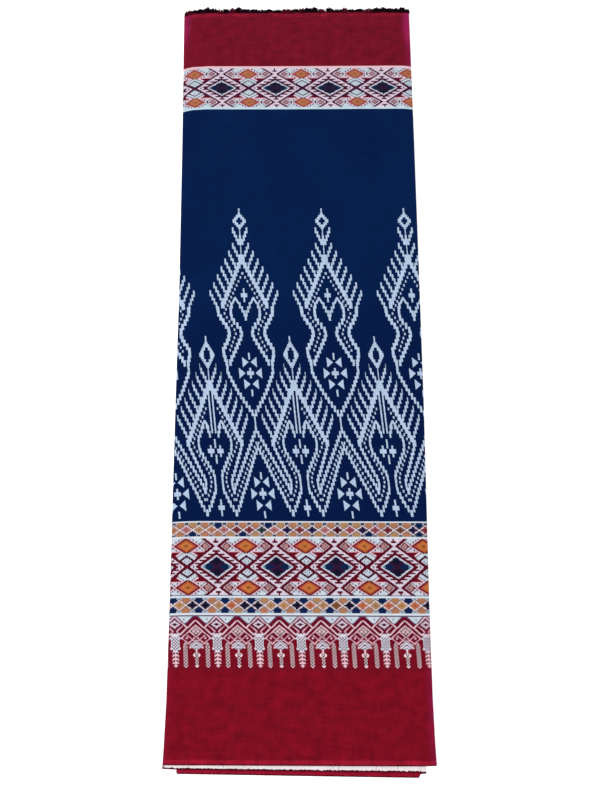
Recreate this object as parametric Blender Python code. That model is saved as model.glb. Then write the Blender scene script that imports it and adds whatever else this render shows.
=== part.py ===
"""Printed cotton cloth, one cut length folded back and forth into a tall narrow panel.

Metres, +Z up. The folded cloth lies face up on the plane Z = 0. X runs across the panel from
fold to fold, and +Y runs from the plain hem edge to the frayed waist edge. The origin is the
middle of the bounding box, at its lowest level.

The cloth is one solid: a thin sheet swept along a zigzag section. Along its waist edge lies a
narrow strip parted from it, which carries the short frayed yarn ends of the selvedge.
"""
import random
from math import cos, hypot, pi, sin

import bmesh
import bpy

MM = 0.001

# Sheet and pile
CLOTH_HEIGHT = 1051 * MM        # hem edge to waist edge
SHEET = 1.0 * MM                # thickness of the sheet
LAYER_STEP = 1.8 * MM           # from one layer to the next, so they lie 0.8 mm apart
SWELL = 1.1 * MM                # how much the top layer rises where the pile is softest
FOLD_PUFF = 0.35 * MM           # how far the two layers of a fold spread before they turn
FOLD_REACH = 14 * MM            # width of the zone where they spread
DROOP_REACH = 17 * MM           # width of the zone where an overhanging end bends down

# Waist edge
STRIP_WIDTH = 3.0 * MM
PART_GAP = 0.3 * MM
TUFTS_PER_LAYER = 27
TUFT_LENGTHS = (2.5 * MM, 5.5 * MM)
TUFT_FILLS = (0.5, 0.85)        # share of its place along the edge that a tuft's root fills
TUFT_TIP = 0.55                 # size of a tuft's tip as a share of its root
TUFT_LEAN = 1.2 * MM
TUFT_SEED = 5

# Outline of the top layer: distance from the hem, then the left and right edges
OUTLINE = (
    # from_hem, left, right
    (0 * MM, -171.2 * MM, 170.1 * MM),
    (25 * MM, -170.2 * MM, 168.8 * MM),
    (80 * MM, -168.6 * MM, 167.3 * MM),
    (200 * MM, -168.2 * MM, 166.5 * MM),
    (460 * MM, -168.1 * MM, 167.0 * MM),
    (630 * MM, -167.7 * MM, 165.9 * MM),
    (850 * MM, -169.6 * MM, 164.2 * MM),
    (1051 * MM, -172.4 * MM, 162.3 * MM),
)

# Where the zigzag turns, from the free end of the top layer to that of the bottom layer: how
# far the turn lies inside the outline, and how far it bends down over the layers below
TURNS = (
    # side, inset, droop
    ("right", 0.0 * MM, 2.8 * MM),
    ("left", 0.0 * MM, 2.2 * MM),
    ("right", 13.1 * MM, 0.2 * MM),
    ("left", 17.4 * MM, 0.1 * MM),
    ("right", 22.0 * MM, 0.0 * MM),
    ("left", 27.0 * MM, 0.0 * MM),
    ("right", 29.0 * MM, 0.0 * MM),
)
LAYERS = len(TURNS) - 1

# Hem edge of each layer from top to bottom: places from its left end (0) to its right end (1),
# and how far the edge lies from the hem line of the top layer there
HEMS = (
    # (from_left, hem), ...
    ((0.0, 0.0 * MM), (0.5, -0.5 * MM), (1.0, -1.3 * MM)),
    ((0.0, -5.1 * MM), (0.45, -6.9 * MM), (1.0, -9.1 * MM)),
    ((0.0, -10.9 * MM), (0.5, -13.2 * MM), (0.974, -15.4 * MM), (0.982, -10.9 * MM),
     (1.0, -10.6 * MM)),
    ((0.0, -8.6 * MM), (0.5, -6.9 * MM), (1.0, -7.4 * MM)),
    ((0.0, -5.2 * MM), (0.5, -5.9 * MM), (1.0, -6.6 * MM)),
    ((0.0, -4.2 * MM), (0.5, -3.3 * MM), (1.0, -2.6 * MM)),
)
# Waist edge of the top layer, whose left corner dips. That of the other layers runs straight.
TOP_WAIST = ((0.0, -4.4 * MM), (0.04, -1.6 * MM), (0.1, 0.0 * MM), (1.0, 0.9 * MM))

# How finely the solids follow these shapes
ACROSS = (0.0, 0.018, 0.026, 0.06, 0.1, 0.25, 0.42, 0.58, 0.75, 0.9, 0.94, 0.974, 0.982,
          1.0)
ALONG = (0.0, 0.012, 0.035, 0.075, 0.13, 0.19, 0.3, 0.44, 0.6, 0.74, 0.87, 1.0)
TURN_STEPS = 6
HEM_HASTE = 2.5                 # how early in a turn the hem reaches the next layer's line

CLOTH_RED = (0.16, 0.006, 0.018, 1)
YARN_BLACK = (0.012, 0.008, 0.01, 1)


def clear_objects():
    for item in list(bpy.data.objects):
        bpy.data.objects.remove(item, do_unlink=True)


def between(rows, place):
    """Value of a table of (place, value) rows at a place, straight from row to row."""
    for (start, low), (end, high) in zip(rows, rows[1:]):
        if place <= end:
            return low + (high - low) * (place - start) / (end - start)
    return rows[-1][1]


def fade(distance, reach):
    """1 at no distance, falling smoothly to 0 at the reach."""
    share = min(max(distance / reach, 0.0), 1.0)
    return 1 - share * share * (3 - 2 * share)


def turn_x(turn, from_hem):
    """Outermost point of a turn."""
    side, inset, _ = TURNS[turn]
    if side == "left":
        return between([(row[0], row[1]) for row in OUTLINE], from_hem) + inset
    return between([(row[0], row[2]) for row in OUTLINE], from_hem) - inset


def swell(x, from_hem):
    """Soft unevenness of the pile, from 0 to 1."""
    return 0.5 + 0.3 * sin(17 * x + 5.2 * from_hem + 0.6) + 0.2 * cos(9.5 * from_hem - 11 * x)


def level(layer, x, from_hem):
    """Height of the middle of a layer's sheet. The bottom layer lies flat."""
    below = LAYERS - 1 - layer
    height = SHEET / 2 + below * LAYER_STEP + SWELL * swell(x, from_hem) * below / (LAYERS - 1)
    for turn, puff in ((layer, -FOLD_PUFF), (layer + 1, FOLD_PUFF)):
        distance = abs(x - turn_x(turn, from_hem))
        droop = TURNS[turn][2]
        height -= droop * max(1 - distance / DROOP_REACH, 0) ** 2
        is_fold = 0 < turn < LAYERS
        if is_fold and below:
            height += puff * fade(distance, FOLD_REACH)
    return height


def turn_points(turn, from_hem, steps):
    """Middle line of the sheet round a fold, from the layer above it to the layer below it."""
    side = -1 if TURNS[turn][0] == "left" else 1
    tip = turn_x(turn, from_hem)
    upper, lower = level(turn - 1, tip, from_hem), level(turn, tip, from_hem)
    radius = (upper - lower) / 2
    centre_x, centre_z = tip - side * (radius + SHEET / 2), (upper + lower) / 2
    points = []
    for step in range(steps + 1):
        angle = pi / 2 - pi * step / steps
        points.append((centre_x + side * radius * cos(angle), centre_z + radius * sin(angle)))
    return points


def layer_span(layer, from_hem):
    """Where the flat run of a layer starts and ends, in the direction in which the cloth runs."""
    start, end = turn_x(layer, from_hem), turn_x(layer + 1, from_hem)
    if layer > 0:
        start = turn_points(layer, from_hem, 1)[1][0]
    if layer + 1 < LAYERS:
        end = turn_points(layer + 1, from_hem, 1)[0][0]
    return start, end


def edge_rows(layer, share, runs_left):
    """Hem and waist offsets of a layer at a share of its run."""
    from_left = 1 - share if runs_left else share
    hem = between(HEMS[layer], from_left)
    if layer == 0:
        return hem, between(TOP_WAIST, from_left)
    left, right = HEMS[layer][0][1], HEMS[layer][-1][1]
    return hem, left + (right - left) * from_left


def section(from_hem, shares_by_layer):
    """Middle line of the whole zigzag as rows of x, z, hem and waist."""
    rows = []
    for layer, shares in enumerate(shares_by_layer):
        runs_left = layer % 2 == 0
        start, end = layer_span(layer, from_hem)
        for share in shares:
            x = start + (end - start) * share
            rows.append((x, level(layer, x, from_hem), *edge_rows(layer, share, runs_left)))
        if layer + 1 < LAYERS:
            before = edge_rows(layer, 1.0, runs_left)
            after = edge_rows(layer + 1, 0.0, not runs_left)
            points = turn_points(layer + 1, from_hem, TURN_STEPS)
            for step in range(1, TURN_STEPS):
                turned = min(HEM_HASTE * step / TURN_STEPS, 1.0)
                hem, waist = (a + (b - a) * turned for a, b in zip(before, after))
                rows.append((*points[step], hem, waist))
    return rows


def both_sides(rows):
    """Points on the printed face and on the wrong side of the sheet, for each row."""
    pairs = []
    last = len(rows) - 1
    for index, (x, z, _, _) in enumerate(rows):
        x0, z0 = rows[max(index - 1, 0)][:2]
        x1, z1 = rows[min(index + 1, last)][:2]
        run, rise = x1 - x0, z1 - z0
        half = SHEET / 2 / hypot(run, rise)
        pairs.append(((x + rise * half, z - run * half), (x - rise * half, z + run * half)))
    return pairs


def sheet_mesh(shares_by_layer, y_of, along):
    """The swept sheet without its two end caps. y_of(hem, waist, share) places a ring."""
    mesh = bmesh.new()
    rings = []
    for share in along:
        rows = section(share * CLOTH_HEIGHT, shares_by_layer)
        ring = []
        for (face, wrong), (_, _, hem, waist) in zip(both_sides(rows), rows):
            y = y_of(hem, waist, share)
            ring.append([mesh.verts.new((x, y, z)) for x, z in (face, wrong)])
        rings.append(ring)
    for lower, upper in zip(rings, rings[1:]):
        for index in range(len(lower) - 1):
            for side in (0, 1):
                mesh.faces.new((lower[index][side], lower[index + 1][side],
                                upper[index + 1][side], upper[index][side]))
        for end in (0, -1):
            mesh.faces.new((lower[end][0], lower[end][1], upper[end][1], upper[end][0]))
    return mesh, rings


def cap(mesh, ring, skipped=()):
    for index in range(len(ring) - 1):
        if index not in skipped:
            mesh.faces.new((ring[index][0], ring[index + 1][0],
                            ring[index + 1][1], ring[index][1]))


def cloth_mesh():
    def y_of(hem, waist, share):
        return hem + (CLOTH_HEIGHT + waist - hem - STRIP_WIDTH - PART_GAP) * share

    mesh, rings = sheet_mesh([ACROSS] * LAYERS, y_of, ALONG)
    cap(mesh, rings[0])
    cap(mesh, rings[-1])
    return mesh


def tuft_shares(rng):
    """Places along one layer where tufts start and end, with both ends of the layer."""
    shares = [0.0]
    for tuft in range(TUFTS_PER_LAYER):
        fill = rng.uniform(*TUFT_FILLS)
        start = tuft + (1 - fill) * rng.uniform(0.3, 0.7)
        shares += [start / TUFTS_PER_LAYER, (start + fill) / TUFTS_PER_LAYER]
    return shares + [1.0]


def add_tuft(mesh, root, length, lean):
    """A flat tapered lock on four root points. Its underside stays level with its root."""
    centre = sum(point.co.x for point in root) / len(root)
    lowest = min(point.co.z for point in root)
    tip = []
    for point in root:
        x = centre + (point.co.x - centre) * TUFT_TIP + lean
        z = lowest + (point.co.z - lowest) * TUFT_TIP
        tip.append(mesh.verts.new((x, point.co.y + length, z)))
    for index in range(len(root)):
        after = (index + 1) % len(root)
        mesh.faces.new((root[index], root[after], tip[after], tip[index]))
    mesh.faces.new(tip)


def fringe_mesh():
    rng = random.Random(TUFT_SEED)
    shares_by_layer = [tuft_shares(rng) for _ in range(LAYERS)]
    strip_start = 1 - STRIP_WIDTH / CLOTH_HEIGHT

    def y_of(hem, waist, share):
        return CLOTH_HEIGHT + waist - (1 - share) * CLOTH_HEIGHT

    mesh, rings = sheet_mesh(shares_by_layer, y_of, (strip_start, 1.0))
    edge = rings[-1]
    roots = []
    first = 0
    for shares in shares_by_layer:
        roots += range(first + 1, first + len(shares) - 1, 2)
        first += len(shares) + TURN_STEPS - 1
    cap(mesh, rings[0])
    cap(mesh, edge, skipped=roots)
    for index in roots:
        root = (edge[index][0], edge[index + 1][0], edge[index + 1][1], edge[index][1])
        lean = rng.uniform(-TUFT_LEAN, TUFT_LEAN)
        add_tuft(mesh, root, rng.uniform(*TUFT_LENGTHS), lean)
    return mesh


def material(name, color, roughness):
    result = bpy.data.materials.new(name)
    result.use_nodes = True
    shader = result.node_tree.nodes["Principled BSDF"]
    shader.inputs["Base Color"].default_value = color
    shader.inputs["Roughness"].default_value = roughness
    shader.inputs["Metallic"].default_value = 0.0
    return result


def add_object(name, mesh, surface):
    bmesh.ops.recalc_face_normals(mesh, faces=mesh.faces)
    data = bpy.data.meshes.new(name)
    mesh.to_mesh(data)
    mesh.free()
    data.materials.append(surface)
    item = bpy.data.objects.new(name, data)
    bpy.context.scene.collection.objects.link(item)
    return item


def centre_on_origin(items):
    """Moves the points so that the origin is the bottom centre of all the objects together."""
    points = [point.co for item in items for point in item.data.vertices]
    shift_x = (min(p.x for p in points) + max(p.x for p in points)) / 2
    shift_y = (min(p.y for p in points) + max(p.y for p in points)) / 2
    for point in points:
        point.x -= shift_x
        point.y -= shift_y


def build():
    clear_objects()
    cloth_look = material("printed_cotton", CLOTH_RED, 0.9)
    yarn_look = material("dark_yarn", YARN_BLACK, 0.95)
    cloth = add_object("cloth", cloth_mesh(), cloth_look)
    fringe = add_object("selvedge_fringe", fringe_mesh(), yarn_look)
    centre_on_origin([cloth, fringe])


build()
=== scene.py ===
"""Looks of the printed cotton cloth, folded into a tall narrow panel.

Metres and +Z up, in the frame of the solids. The cloth is one thin sheet, swept along the same
zigzag as its solid, with short frayed yarn ends along its waist edge. Its print is worked out
in the materials by formulas, in millimetres on the cloth: x across the panel from the middle
of the picture, and t up the panel from the hem edge.
"""

import random
from functools import partialmethod, reduce
from math import atan, ceil, cos, exp, floor, hypot, pi, radians, sin
from operator import or_
from types import SimpleNamespace as Named

import bpy
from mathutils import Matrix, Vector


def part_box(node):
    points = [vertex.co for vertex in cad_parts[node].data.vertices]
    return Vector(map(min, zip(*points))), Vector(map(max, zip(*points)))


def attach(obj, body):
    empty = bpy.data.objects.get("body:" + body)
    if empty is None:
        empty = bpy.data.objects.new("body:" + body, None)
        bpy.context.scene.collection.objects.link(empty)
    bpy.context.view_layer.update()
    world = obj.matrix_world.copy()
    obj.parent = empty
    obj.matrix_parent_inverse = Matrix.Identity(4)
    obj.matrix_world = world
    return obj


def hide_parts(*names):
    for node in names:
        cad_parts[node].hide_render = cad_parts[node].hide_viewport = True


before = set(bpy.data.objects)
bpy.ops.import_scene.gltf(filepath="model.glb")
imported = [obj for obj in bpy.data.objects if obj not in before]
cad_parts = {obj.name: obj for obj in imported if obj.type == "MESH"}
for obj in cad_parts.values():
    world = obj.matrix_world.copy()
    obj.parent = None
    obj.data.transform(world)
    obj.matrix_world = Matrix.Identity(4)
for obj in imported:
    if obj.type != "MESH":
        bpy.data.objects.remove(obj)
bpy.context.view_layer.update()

MM = 0.001

# Sheet and pile, as in the solid, whose sheet is thicker
CLOTH_HEIGHT = 1051 * MM        # hem edge to waist edge
SHEET = 0.5 * MM                # thickness of the cotton
LAYER_STEP = 1.8 * MM           # from one layer to the next
SWELL = 1.1 * MM                # how much the top layer rises where the pile is softest
FOLD_PUFF = 0.35 * MM           # how far the two layers of a fold spread before they turn
FOLD_REACH = 14 * MM            # width of the zone where they spread
DROOP_REACH = 17 * MM           # width of the zone where an overhanging end bends down

# Outline of the top layer: distance from the hem, then the left and right edges
OUTLINE = [[place * MM for place in row] for row in (
    # from_hem, left, right
    (0, -171.2, 170.1),
    (25, -170.2, 168.8),
    (80, -168.6, 167.3),
    (200, -168.2, 166.5),
    (460, -168.1, 167.0),
    (630, -167.7, 165.9),
    (850, -169.6, 164.2),
    (1051, -172.4, 162.3),
)]

# Where the zigzag turns, from the free end of the top layer to that of the bottom layer
TURNS = [(side, inset * MM, droop * MM) for side, inset, droop in (
    ("right", 0.0, 2.8),
    ("left", 0.0, 2.2),
    ("right", 13.1, 0.2),
    ("left", 17.4, 0.1),
    ("right", 22.0, 0.0),
    ("left", 27.0, 0.0),
    ("right", 29.0, 0.0),
)]
LAYERS = len(TURNS) - 1

# Hem edge of each layer, and the top layer's waist edge, from left (0) to right (1)
HEMS = [[(share, hem * MM) for share, hem in row] for row in (
    # (from_left, hem), ...
    ((0.0, 0.0), (0.5, -0.5), (1.0, -1.3)),
    ((0.0, -5.1), (0.45, -6.9), (1.0, -9.1)),
    ((0.0, -10.9), (0.5, -13.2), (0.974, -15.4), (0.982, -10.9), (1.0, -10.6)),
    ((0.0, -8.6), (0.5, -6.9), (1.0, -7.4)),
    ((0.0, -5.2), (0.5, -5.9), (1.0, -6.6)),
    ((0.0, -4.2), (0.5, -3.3), (1.0, -2.6)),
)]
TOP_WAIST = ((0.0, -4.4 * MM), (0.04, -1.6 * MM), (0.1, 0.0 * MM), (1.0, 0.9 * MM))
NOTCHED = 2                     # the layer whose hem edge has a notch
NOTCH = slice(2, 4)             # the two points where the notch starts, in its row

# Soft creases of the top layer: height, half width and course
CREASES = (
    # height, reach, ((x, from_hem), ...)
    (0.55, 6, ((-150, 812), (-45, 816), (17, 808), (75, 796), (105, 795), (160, 807))),
    (0.40, 9, ((-62, 842), (-45, 826), (-28, 804))),
    (0.35, 11, ((84, 884), (92, 850), (101, 818))),
    (-0.50, 12, ((-172, 20), (-140, 15), (-118, 9))),
    (-0.35, 9, ((-146, 1040), (-141, 985), (-147, 930))),
    (0.30, 10, ((128, 1046), (134, 1000), (126, 968))),
    (0.25, 14, ((-120, 470), (-20, 478), (90, 462))),
)

# Where one printed band ends and the next starts, in millimetres from the hem up: plain hem,
# hanging ornaments, lower borders, tied navy, upper diamond band
BAND_TOPS = (112.0, 180.7, 300.0, 891.9, 961.0)
HEM_STRIP = 6.4                 # top of the lighter strip along the hem

# How finely the sheet follows its shapes
TOP_COLUMNS = 72
UNDER_COLUMNS = 19
TURN_STEPS = 8
HEM_HASTE = 2.5                 # how early in a turn the hem reaches the next layer's line
ROW_STEP = 6.0                  # from one row of points to the next, in millimetres
EDGE_ROW_STEP = 3.0             # the same near the hem and the waist
EDGE_ZONE = 24.0
RIM_ROW = 1.0                   # from the first row to the second, and at the waist


def between(rows, place):
    """Value of a table of (place, value) rows at a place, straight from row to row."""
    for (start, low), (end, high) in zip(rows, rows[1:]):
        if place <= end:
            return low + (high - low) * (place - start) / (end - start)
    return rows[-1][1]


def fade(distance, reach):
    """1 at no distance, falling smoothly to 0 at the reach."""
    share = min(max(distance / reach, 0.0), 1.0)
    return 1 - share * share * (3 - 2 * share)


def turn_x(turn, from_hem):
    """Outermost point of a turn."""
    side, inset, _ = TURNS[turn]
    column, inwards = (1, 1) if side == "left" else (2, -1)
    return between([(row[0], row[column]) for row in OUTLINE], from_hem) + inwards * inset


def swell(x, from_hem):
    """Soft unevenness of the pile, from 0 to 1."""
    return 0.5 + 0.3 * sin(17 * x + 5.2 * from_hem + 0.6) + 0.2 * cos(9.5 * from_hem - 11 * x)


def distance_to(course, x, y):
    """Distance from a point to a course of straight stretches."""
    nearest = 1e9
    for (x0, y0), (x1, y1) in zip(course, course[1:]):
        run, rise = x1 - x0, y1 - y0
        share = ((x - x0) * run + (y - y0) * rise) / (run * run + rise * rise)
        share = min(max(share, 0.0), 1.0)
        nearest = min(nearest, hypot(x - x0 - run * share, y - y0 - rise * share))
    return nearest


def crease(x, from_hem):
    """Height that the soft creases add to the top layer."""
    total = 0.0
    for height, reach, course in CREASES:
        distance = distance_to(course, x / MM, from_hem / MM)
        if distance < 3 * reach:
            total += height * MM * exp(-((distance / reach) ** 2))
    return total


def level(layer, x, from_hem):
    """Height of the middle of a layer's sheet. The bottom layer lies flat."""
    below = LAYERS - 1 - layer
    height = SHEET / 2 + below * LAYER_STEP + SWELL * swell(x, from_hem) * below / (LAYERS - 1)
    for turn, puff in ((layer, -FOLD_PUFF), (layer + 1, FOLD_PUFF)):
        distance = abs(x - turn_x(turn, from_hem))
        droop = TURNS[turn][2]
        height -= droop * max(1 - distance / DROOP_REACH, 0) ** 2
        if 0 < turn < LAYERS and below:
            height += puff * fade(distance, FOLD_REACH)
    if layer == 0:
        height += crease(x, from_hem)
    return height


def turn_points(turn, from_hem, steps):
    """Middle line of the sheet round a fold, from the layer above it to the layer below it."""
    side = -1 if TURNS[turn][0] == "left" else 1
    tip = turn_x(turn, from_hem)
    upper, lower = level(turn - 1, tip, from_hem), level(turn, tip, from_hem)
    radius = (upper - lower) / 2
    centre_x, centre_z = tip - side * (radius + SHEET / 2), (upper + lower) / 2
    points = []
    for step in range(steps + 1):
        angle = pi / 2 - pi * step / steps
        points.append((centre_x + side * radius * cos(angle), centre_z + radius * sin(angle)))
    return points


def layer_span(layer, from_hem):
    """Where the flat run of a layer starts and ends, in the direction in which the cloth runs."""
    start, end = turn_x(layer, from_hem), turn_x(layer + 1, from_hem)
    if layer > 0:
        start = turn_points(layer, from_hem, 1)[1][0]
    if layer + 1 < LAYERS:
        end = turn_points(layer + 1, from_hem, 1)[0][0]
    return start, end


def edge_rows(layer, share, runs_left):
    """Hem and waist offsets of a layer at a share of its run."""
    from_left = 1 - share if runs_left else share
    hem = between(HEMS[layer], from_left)
    if layer == 0:
        return hem, between(TOP_WAIST, from_left)
    left, right = HEMS[layer][0][1], HEMS[layer][-1][1]
    return hem, left + (right - left) * from_left


def spread(count, pull):
    """Shares from 0 to 1, the closer together near both ends the stronger the pull."""
    return [(1 - pull) * step / count + pull * (0.5 - 0.5 * cos(pi * step / count))
            for step in range(count + 1)]


def section(from_hem):
    """Middle line of the whole zigzag: rows of layer, x, z, hem, waist and fold distance."""
    rows = []
    for layer in range(LAYERS):
        runs_left = layer % 2 == 0
        start, end = layer_span(layer, from_hem)
        tips = turn_x(layer, from_hem), turn_x(layer + 1, from_hem)
        shares = spread(TOP_COLUMNS, 0.3) if layer == 0 else spread(UNDER_COLUMNS, 0.7)
        if layer == NOTCHED:
            shares = sorted(shares + [1 - place for place, _ in HEMS[NOTCHED][NOTCH]])
        for share in shares:
            x = start + (end - start) * share
            fold = min(abs(x - tip) for tip in tips)
            rows.append((layer, x, level(layer, x, from_hem),
                         *edge_rows(layer, share, runs_left), fold))
        if layer + 1 < LAYERS:
            before = edge_rows(layer, 1.0, runs_left)
            after = edge_rows(layer + 1, 0.0, not runs_left)
            points = turn_points(layer + 1, from_hem, TURN_STEPS)
            for step in range(1, TURN_STEPS):
                turned = min(HEM_HASTE * step / TURN_STEPS, 1.0)
                hem, waist = (a + (b - a) * turned for a, b in zip(before, after))
                rows.append((layer, *points[step], hem, waist, 0.0))
    return rows


def lengths_along(rows):
    """Place of each point of a section along the cloth. On the top layer it is the point's x."""
    places = [rows[0][1]]
    for before, after in zip(rows, rows[1:]):
        if after[0] == 0 and after[5] > 0:
            places.append(after[1])
        else:
            places.append(places[-1] - hypot(after[1] - before[1], after[2] - before[2]))
    return places


def both_sides(rows):
    """x and z on the printed face and on the wrong side of the sheet, for each row."""
    pairs = []
    last = len(rows) - 1
    for index, (_, x, z, *_rest) in enumerate(rows):
        x0, z0 = rows[max(index - 1, 0)][1:3]
        x1, z1 = rows[min(index + 1, last)][1:3]
        run, rise = x1 - x0, z1 - z0
        half = SHEET / 2 / hypot(run, rise)
        pairs.append(((x + rise * half, z - run * half), (x - rise * half, z + run * half)))
    return pairs


def row_places():
    """Distances from the hem at which the sheet has points, with one at each band's edge."""
    height = CLOTH_HEIGHT / MM
    stops = sorted((0.0, RIM_ROW, HEM_STRIP, EDGE_ZONE, *BAND_TOPS, height / 2,
                    height - EDGE_ZONE, height - RIM_ROW, height))
    places = [0.0]
    for start, end in zip(stops, stops[1:]):
        near_edge = end <= EDGE_ZONE or start >= height - EDGE_ZONE
        count = max(1, round((end - start) / (EDGE_ROW_STEP if near_edge else ROW_STEP)))
        places += [start + (end - start) * step / count for step in range(1, count + 1)]
    return [place * MM for place in places]


# Map through which the finish is stored: rectangles in shares of a square of 1024 pixels
MAP = 1024.0
MARGIN = 3.0
TALL = 786.0                    # height of the two halves of the top layer
SHELF = (MAP - TALL) / 2        # height of each of the two shelves above them
HEM_SHARE = ((0.0, 0.0), (22 * MM, 0.4), (CLOTH_HEIGHT, 1.0))


def map_tiles():
    """Rectangle of each layer's face and wrong side, as {(side, layer): (x0, y0, x1, y1)}."""
    first, second = TALL, TALL + SHELF
    tiles = {
        ("face", 5): (0, first, 560, second),
        ("wrong", 1): (560, first, 800, second),
        ("face", 2): (800, first, MAP, second),
    }
    others = [("face", 1), ("face", 3), ("face", 4), ("wrong", 0), ("wrong", 2), ("wrong", 3),
              ("wrong", 4), ("wrong", 5)]
    width = MAP / len(others)
    for place, key in enumerate(others):
        tiles[key] = (place * width, second, (place + 1) * width, MAP)
    return tiles


TILES = map_tiles()


def map_place(side, layer, upper_half, across, from_hem, ends):
    """Place in the map of a point of the sheet. ends are the layer's ends along the cloth."""
    share = (across - ends[0]) / (ends[1] - ends[0])
    if (side, layer) == ("face", 0):
        x0 = MAP / 2 if upper_half else 0.0
        y0, x1, y1 = 0.0, x0 + MAP / 2, TALL
        up = from_hem / (CLOTH_HEIGHT / 2) - (1 if upper_half else 0)
    else:
        x0, y0, x1, y1 = TILES[side, layer]
        up = between(HEM_SHARE, from_hem)
    if (side, layer) == ("face", 5):
        share, up = from_hem / CLOTH_HEIGHT, share
    x = x0 + MARGIN + (x1 - x0 - 2 * MARGIN) * share
    y = y0 + MARGIN + (y1 - y0 - 2 * MARGIN) * up
    return x / MAP, y / MAP


def band_of(from_hem):
    """Number of the printed band at a place, which is also the number of its material."""
    return sum(from_hem / MM > top for top in BAND_TOPS)


def sheet_mesh(name):
    """The folded sheet, with a map named Cloth for the print and one for storing the finish."""
    places = row_places()
    sections = [section(place) for place in places]
    alongs = [lengths_along(rows) for rows in sections]
    columns = len(sections[0])
    layers = [row[0] for row in sections[0]]
    ends = []
    for layer in range(LAYERS):
        run = [index for index in range(columns) if layers[index] == layer]
        last = min(run[-1] + 1, columns - 1)
        inside = [along[index] for along in alongs for index in (run[0], last)]
        ends.append((max(inside), min(inside)))

    points, folds = [], []
    for side in (0, 1):
        for place, rows in zip(places, sections):
            share = place / CLOTH_HEIGHT
            for pair, (_, _, _, hem, waist, fold) in zip(both_sides(rows), rows):
                y = hem + (CLOTH_HEIGHT + waist - hem) * share
                points.append((pair[side][0], y, pair[side][1]))
                folds.append(fold)
    face_points = len(places) * columns

    faces, bands, prints, stores = [], [], [], []

    def add(corners, side="face", out=(0.0, 0.0)):
        """Adds a face, from the row, column and side (0 or 1) of its corners in order.

        On the rim, out is how far past the face its corners on the wrong side are stored.
        """
        middle = sum(places[row] for row, _, _ in corners) / len(corners)
        layer = layers[min(column for _, column, _ in corners)]
        bands.append(band_of(middle) if side == "face" else len(BAND_TOPS) + 1)
        faces.append([back * face_points + row * columns + column
                      for row, column, back in corners])
        for row, column, back in corners:
            across, up = alongs[row][column], places[row]
            prints.append((across, up))
            stores.append(map_place(side, layer, middle > CLOTH_HEIGHT / 2,
                                    across + out[0] * back, up + out[1] * back, ends[layer]))

    rim = 0.7 * MM
    last_row, last_column = len(places) - 1, columns - 1
    for row in range(last_row):
        for column in range(last_column):
            square = ((row, column), (row + 1, column), (row + 1, column + 1), (row, column + 1))
            add([(*corner, 0) for corner in square])
            add([(*corner, 1) for corner in reversed(square)], "wrong")
    for column in range(last_column):
        for row, order, out in ((0, 1, -rim), (last_row, -1, rim)):
            square = ((row, column, 0), (row, column + 1, 0), (row, column + 1, 1),
                      (row, column, 1))
            add(square[::order], out=(0.0, out))
    for row in range(last_row):
        for column, order, out in ((0, 1, rim), (last_column, -1, -rim)):
            square = ((row, column, 0), (row, column, 1), (row + 1, column, 1),
                      (row + 1, column, 0))
            add(square[::order], out=(out, 0.0))

    mesh = bpy.data.meshes.new(name)
    mesh.from_pydata(points, [], faces)
    mesh.polygons.foreach_set("material_index", bands)
    for label, values in (("Cloth", prints), ("OFBake", stores)):
        layer = mesh.uv_layers.new(name=label)
        layer.data.foreach_set("uv", [number for place in values for number in place])
    mesh.attributes.new("fold", "FLOAT", "POINT").data.foreach_set("value", folds)
    mesh.uv_layers.active = mesh.uv_layers["Cloth"]
    mesh.shade_smooth()
    mesh.set_sharp_from_angle(angle=radians(50))
    return mesh


# Frayed yarn ends along the waist edge
TUFT_SEED = 11
TUFT_WIDTHS = (6 * MM, 15 * MM)
TUFT_GAPS = (-1.0 * MM, 1.8 * MM)
TUFT_LENGTHS = (4.2 * MM, 8.2 * MM)
YARNS_PER_MM = (9.5, 1.6)       # on the top layer, and on each layer under it
YARN_RADIUS = 0.48 * MM
YARN_TAPER = 0.4                # share of its radius that a yarn loses by its tip
YARN_SIDES = 3
YARN_STEPS = 3


def waist_edge(layer, x):
    """Place and height of a layer's waist edge."""
    left, right = sorted(layer_span(layer, CLOTH_HEIGHT))
    from_left = min(max((x - left) / (right - left), 0.0), 1.0)
    waist = edge_rows(layer, from_left, False)[1]
    return CLOTH_HEIGHT + waist, level(layer, x, CLOTH_HEIGHT)


def yarn(points, faces, course, radius):
    """Adds a tapered yarn end along a course of points."""
    first = len(points)
    for step, (x, y, z) in enumerate(course):
        size = radius * (1 - YARN_TAPER * step / (len(course) - 1))
        for side in range(YARN_SIDES):
            angle = 2 * pi * side / YARN_SIDES + 0.5
            points.append((x + size * cos(angle), y, z + size * sin(angle)))
    for step in range(len(course) - 1):
        ring = first + step * YARN_SIDES
        for side in range(YARN_SIDES):
            after = (side + 1) % YARN_SIDES
            faces.append((ring + side, ring + YARN_SIDES + side, ring + YARN_SIDES + after,
                          ring + after))
    end = first + (len(course) - 1) * YARN_SIDES
    faces.append(tuple(range(first, first + YARN_SIDES)))
    faces.append(tuple(reversed(range(end, end + YARN_SIDES))))


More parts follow.
